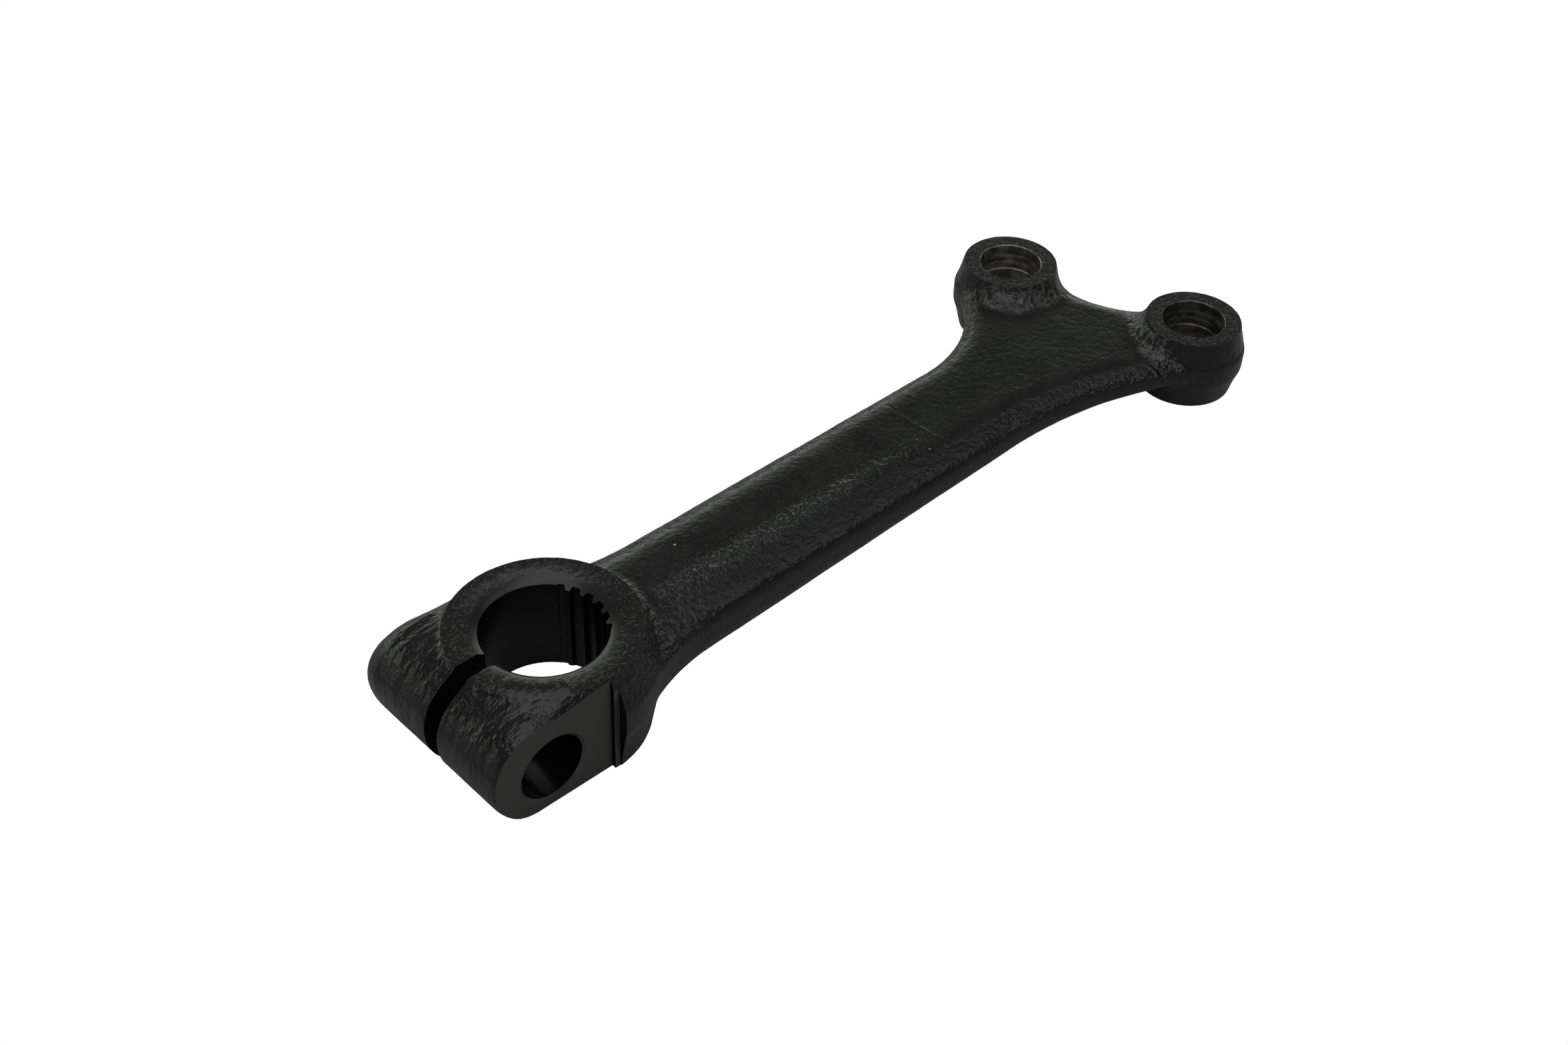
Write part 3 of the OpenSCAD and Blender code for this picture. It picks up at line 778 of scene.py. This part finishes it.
def machine(blank):
    r, w, h, top, slotY = arm["boreR"], arm["leadW"], arm["leadH"], arm["eyeH"], arm["slotW"] / 2
    slope = w / h
    over, past, facing = arm["over"], arm["past"], arm["facing"]
    nose, face = arm["noseReach"] + arm["noseOver"], arm["nearFace"]
    boltR, breakW, boltReach = arm["boltR"], arm["boltLead"], arm["boltReach"]
    (eyeLow, eyeHigh), (forkLow, forkHigh) = arm["eyeBox"], arm["forkBox"]
    millLow = (-nose, -face - arm["millDeep"], -past)
    boltEdge = [(0, -over), (boltR - over, -over), (boltR + breakW + over, breakW + over),
                (0, breakW + over)]
    boltHole = [(0, -boltReach), (boltR, -boltReach), (boltR, boltReach), (0, boltReach)]
    cut(blank, [
        block("faceEye", (*eyeLow, top), (*eyeHigh, top + facing), faced),
        block("footEye", (*eyeLow, -facing), (*eyeHigh, 0), faced),
        block("faceFork", (*forkLow, bossTop), (*forkHigh, top + facing), bossFace),
        block("footFork", (*forkLow, -facing), (*forkHigh, bossFoot), bossFace),
        shadedCutterEnd(block("millFace", millLow, (arm["millEnd"], -face, top + past), milled)),
        shadedCutterEnd(block("millStep", millLow,
                      (arm["millStepEnd"], -face - arm["millStep"], top + past), milled)),
        prism("bore", boreOutline(), -past, top + past, boreShadeWall),
        coneCut("leadTop", r - over, r + w + slope, top - h - over / slope, top + over, lead),
        coneCut("leadFoot", r + w + slope, r - over, -over, h + over / slope, lead),
        block("slot", (-nose, -slotY, -past), (0, slotY, top + past), slotShadeWall),
        acrossY(turned("bolt", boltHole, material=boltWall), 0),
        acrossY(turned("boltLead", boltEdge, material=wornEdgeAndGlint), -face + breakW),
        studCut("farStud", farBoss, litStudSteel), studCut("nearStud", nearBoss, shadedStudSteel),
    ])


def mend(piece):
    # closes up the slivers and folded faces that the cuts leave
    grid = bmesh.new()
    grid.from_mesh(piece.data)
    bmesh.ops.remove_doubles(grid, verts=grid.verts, dist=arm["merge"])
    bmesh.ops.dissolve_degenerate(grid, dist=arm["sliver"], edges=grid.edges)
    bmesh.ops.triangulate(grid, faces=[f for f in grid.faces if len(f.verts) > 4])
    twins = {}
    for f in grid.faces:
        twins.setdefault(frozenset(f.verts), []).append(f)
    folded = [f for same in twins.values() if len(same) > 1 for f in same]
    bmesh.ops.delete(grid, geom=folded, context="FACES")
    print("open or doubled edges left:", sum(1 for e in grid.edges if len(e.link_faces) != 2))
    grid.to_mesh(piece.data)
    grid.free()


# where each paint effect shows, each pair from nothing to full
zones = {
    "sideUp": (0.45, 0.2), "rimUp": (0.12, 0.4), "rimFlat": (0.985, 0.9),
    "flankY": (-5, -7.5), "flankEye": (24, 32), "flankFork": (120, 100), "flankCalm": 0.75,
    "bossR": (14, 12.2), "bossCalm": 0.65,
    "shoulderUp": (0.5, 0.9), "shoulderTop": (-0.5, -4), "shoulderFoot": (-7.5, -5),
    "shoulderEye": (22, 30), "shoulderFork": (110, 40), "shoulder": 0.85,
    "lineWidth": 0.45, "bandGap": (-0.2, -0.7), "lugX": (-2, -9), "lugR": (17.5, 19.5),
}


def zoneMarks(piece):
    # pebbled edges, the flash line's painted shade, the trimmed flash band with its partly painted
    # sheen, and the streaked lugs
    at, out = readMesh(piece.data)
    x, y, up = at[:, 0], at[:, 1], out[:, 2]
    eye, far, near = reaches(at)

    def zone(name, value):
        return smoothStep(*zones[name], value)

    gap = at[:, 2] - bandLine(at)
    side = zone("sideUp", np.abs(up))
    rim = zone("rimUp", up) * zone("rimFlat", up)
    rim *= 1 - zones["flankCalm"] * zone("flankY", y) * zone("flankEye", x) * zone("flankFork", x)
    rim *= 1 - zones["bossCalm"] * zone("bossR", np.minimum(far, near))
    shoulder = zones["shoulder"] * zone("shoulderUp", up)
    shoulder = shoulder * zone("shoulderTop", y) * zone("shoulderFoot", y)
    shoulder *= zone("shoulderEye", x) * zone("shoulderFork", x)
    marks = {
        "edgeZone": np.maximum(rim, shoulder),
        "lineZone": side * np.exp(-(gap / zones["lineWidth"]) ** 2),
        "bandZone": side * zone("bandGap", gap),
        "lugZone": zone("lugX", x) * zone("lugR", eye),
    }
    for name, values in marks.items():
        mark = piece.data.attributes.new(name, "FLOAT", "POINT")
        mark.data.foreach_set("value", values.astype(np.float32))


def makeArm():
    piece = makeBlank()
    print("blank fused:", len(piece.data.vertices), "points")
    hammerSkin(piece)
    machine(piece)
    mend(piece)
    zoneMarks(piece)
    mesh = piece.data
    mesh.transform(Matrix.Scale(mm, 4))
    mesh.polygons.foreach_set("use_smooth", [True] * len(mesh.polygons))
    mesh.set_sharp_from_angle(angle=math.radians(arm["sharpAngle"]))
    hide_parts("pitman_arm")
    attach(piece, "root")
    mesh.calc_loop_triangles()
    print("pitman arm made:", len(mesh.loop_triangles), "triangles")


makeArm()


# white stage, camera and light

def cameraSees(tree, white, other, output):
    # the camera sees plain white, and the part sees the studio
    mix = tree.nodes.new("ShaderNodeMixShader")
    seen = tree.nodes.new("ShaderNodeLightPath").outputs["Is Camera Ray"]
    tree.links.new(seen, mix.inputs[0])
    tree.links.new(other.outputs[0], mix.inputs[1])
    tree.links.new(white.outputs[0], mix.inputs[2])
    tree.links.new(mix.outputs[0], tree.nodes[output].inputs["Surface"])


floor = {"half": 1.5, "z": -0.0004, "pale": 0.5, "rough": 0.9, "lit": 1.0}


def makeFloor():
    material, tree, shader = shaderOf("floorWhite")
    shader.inputs["Base Color"].default_value = (floor["pale"], floor["pale"], floor["pale"], 1)
    shader.inputs["Roughness"].default_value = floor["rough"]
    glow = tree.nodes.new("ShaderNodeEmission")
    glow.inputs["Strength"].default_value = floor["lit"]
    cameraSees(tree, glow, shader, "Material Output")
    half, z = floor["half"], floor["z"]
    corners = [(-half, -half, z), (half, -half, z), (half, half, z), (-half, half, z)]
    return solidOf("floor", corners, [(0, 1, 2, 3)], material)


floorPiece = makeFloor()

# dark above, with a pale backdrop low behind the part
sky = {
    "tint": (0.95, 1, 0.94, 1), "least": 0.06, "rise": 0.28, "power": 3.0,
    "lean": 0.35, "behind": (0.0, 0.9, 0.17, 1.0), "backdrop": (0.1, 0.62, 1.1, 0.0),
}


def makeWorld():
    world = bpy.data.worlds.new("studio")
    world.use_nodes = True
    tree = world.node_tree
    soft = tree.nodes["Background"]
    soft.inputs["Color"].default_value = sky["tint"]
    axes = tree.nodes.new("ShaderNodeSeparateXYZ")
    tree.links.new(tree.nodes.new("ShaderNodeTexCoord").outputs["Generated"], axes.inputs[0])
    height = axes.outputs["Z"]
    rise = sums(tree, "POWER", sums(tree, "MAXIMUM", height, 0.0), sky["power"])
    glow = sums(tree, "ADD", sums(tree, "MULTIPLY", rise, sky["rise"]), sky["least"])
    lean = sums(tree, "MULTIPLY", axes.outputs["X"], sky["lean"])
    behind = ranged(tree, sums(tree, "ADD", lean, axes.outputs["Y"]), *sky["behind"])
    backdrop = sums(tree, "MULTIPLY", behind, ranged(tree, height, *sky["backdrop"]))
    tree.links.new(sums(tree, "ADD", glow, backdrop), soft.inputs["Strength"])
    white = tree.nodes.new("ShaderNodeBackground")
    white.inputs["Color"].default_value = (1, 1, 1, 1)
    cameraSees(tree, white, soft, "World Output")
    scene.world = world


lamps = {
    "aim": (0.075, 0.0, 0.012), "distance": 0.8,
    # direction, length along the arm, width, power
    "key": ((0.5, -0.2, 0.84), 0.4, 0.22, 0.14),
    "overhead": ((-0.25, -0.12, 0.96), 0.8, 0.7, 1.4),
    "strip": ((0.15, 0.3, 0.79), 0.5, 0.08, 0.26),
}


def softbox(name, toward, length, width, power):
    data = bpy.data.lights.new(name, "AREA")
    data.shape = "RECTANGLE"
    data.size, data.size_y, data.energy = length, width, power
    lamp = bpy.data.objects.new(name, data)
    scene.collection.objects.link(lamp)
    way = Vector(toward).normalized()
    across = way.cross((1, 0, 0)).normalized()
    place = Matrix((across.cross(way), across, way)).transposed().to_4x4()
    place.translation = Vector(lamps["aim"]) + way * lamps["distance"]
    lamp.matrix_world = place


# found from the photo's circles and outline: angles in degrees, place in metres
view = {
    "lens": 47.68, "sensor": 36.0, "clip": (0.01, 20), "angles": (-44.938, 40.565, 2.565),
    "place": (-0.160385, -0.220373, 0.279253),
}


def makeCamera():
    data = bpy.data.cameras.new("photoCamera")
    data.lens, data.sensor_width, data.sensor_fit = view["lens"], view["sensor"], "HORIZONTAL"
    data.clip_start, data.clip_end = view["clip"]
    camera = bpy.data.objects.new("photoCamera", data)
    scene.collection.objects.link(camera)
    turn, rise, roll = (math.radians(v) for v in view["angles"])
    flat = math.cos(rise)
    back = Vector((math.sin(turn) * flat, -math.cos(turn) * flat, math.sin(rise)))
    right = Vector((math.cos(turn), math.sin(turn), 0))
    up = back.cross(right)
    tilted = math.cos(roll) * right + math.sin(roll) * up
    up = math.cos(roll) * up - math.sin(roll) * right
    place = Matrix((tilted, up, back)).transposed().to_4x4()
    place.translation = Vector(view["place"])
    camera.matrix_world = place
    scene.camera = camera


makeWorld()
for name in ("key", "overhead", "strip"):
    softbox(name, *lamps[name])
makeCamera()
scene.view_settings.view_transform = "Standard"
print("stage, camera and light ready")
